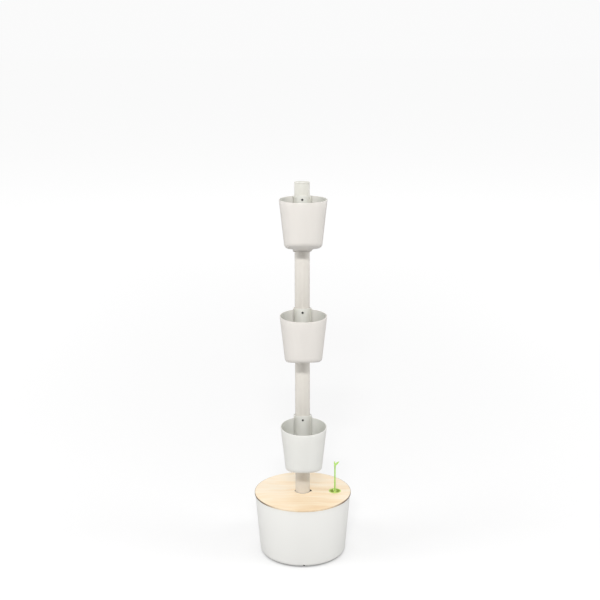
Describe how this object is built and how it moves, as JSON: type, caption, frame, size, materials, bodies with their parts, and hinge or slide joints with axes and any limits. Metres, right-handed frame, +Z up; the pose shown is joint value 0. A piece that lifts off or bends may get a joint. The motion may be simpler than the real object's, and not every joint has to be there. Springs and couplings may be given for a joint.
{
  "type": "vertical planter tower",
  "caption": "Self-watering planter tower: a round water tank with a wooden lid, oval pots that turn about a central tube, a leaf-topped level indicator, and a pump inside.",
  "frame": {"origin": "on the tube's axis at the floor, in the middle of the foot under the tube", "axes": "+Z up along the tube; the pots hang towards -Y, the front; the level indicator is at +X"},
  "size_m": [0.332, 0.389, 1.2865],
  "materials": {
    "tank_plastic": "smooth off-white polypropylene with a soft sheen",
    "pot_plastic": "warm light grey moulded plastic with a soft sheen",
    "tube_plastic": "warm light grey pipe plastic",
    "lid_wood": "pale birch plywood with a clear oil finish, grain along X, burnt laser-cut edge",
    "green_plastic": "bright leaf-green plastic",
    "float_foam": "closed-cell foam",
    "hidden_plastic": "dark grey moulded plastic",
    "fitting_plastic": "black moulded plastic",
    "pump_plastic": "black moulded plastic",
    "magnet_plastic": "grey moulded rotor",
    "shaft_ceramic": "polished white ceramic rod",
    "hose_rubber": "black flexible hose",
    "foot_rubber": "black rubber",
    "screw_steel": "stainless steel"
  },
  "bodies": {
    "tower": {"reservoir": "tank_plastic", "reservoir_feet": "foot_rubber", "tube_socket": "hidden_plastic", "socket_screws": "screw_steel", "tube_base": "tube_plastic", "tube_lower": "tube_plastic", "tube_upper": "tube_plastic", "tube_top": "tube_plastic", "tube_cap": "tube_plastic", "coupler_lower": "hidden_plastic", "coupler_middle": "hidden_plastic", "coupler_upper": "hidden_plastic", "riser_hose_lower": "hose_rubber", "riser_hose_middle": "hose_rubber", "riser_hose_upper": "hose_rubber", "drip_tee_lower": "fitting_plastic", "drip_tee_middle": "fitting_plastic", "drip_elbow_upper": "fitting_plastic", "pump_body": "pump_plastic", "pump_cover": "pump_plastic", "pump_shaft": "shaft_ceramic", "pump_cups": "foot_rubber", "pump_barb": "fitting_plastic"},
    "lower_pot": {"pot_lower": "pot_plastic", "drip_nozzle_lower": "fitting_plastic"},
    "middle_pot": {"pot_middle": "pot_plastic", "drip_nozzle_middle": "fitting_plastic"},
    "upper_pot": {"pot_upper": "pot_plastic", "drip_nozzle_upper": "fitting_plastic"},
    "tank_lid": {"lid": "lid_wood", "filler_guide": "green_plastic"},
    "level_indicator": {"level_float": "float_foam", "float_stem": "green_plastic", "sprout": "green_plastic"},
    "impeller": {"pump_impeller": "magnet_plastic"}
  },
  "joints": [
    {"name": "lower_pot_turn", "type": "hinge", "parent": "tower", "child": "lower_pot", "pos_m": [0, 0, 0.435], "axis": [0, 0, 1], "continuous": true},
    {"name": "middle_pot_turn", "type": "hinge", "parent": "tower", "child": "middle_pot", "pos_m": [0, 0, 0.809], "axis": [0, 0, 1], "continuous": true},
    {"name": "upper_pot_turn", "type": "hinge", "parent": "tower", "child": "upper_pot", "pos_m": [0, 0, 1.183], "axis": [0, 0, 1], "continuous": true},
    {"name": "lid_lift", "type": "slide", "parent": "tower", "child": "tank_lid", "axis": [0, 0, 1], "range_m": [0, 0.075]},
    {"name": "level_travel", "type": "slide", "parent": "tank_lid", "child": "level_indicator", "axis": [0, 0, 1], "range_m": [-0.088, 0]},
    {"name": "impeller_spin", "type": "hinge", "parent": "tower", "child": "impeller", "pos_m": [-0.1, 0, 0.0345], "axis": [1, 0, 0], "continuous": true}
  ]
}
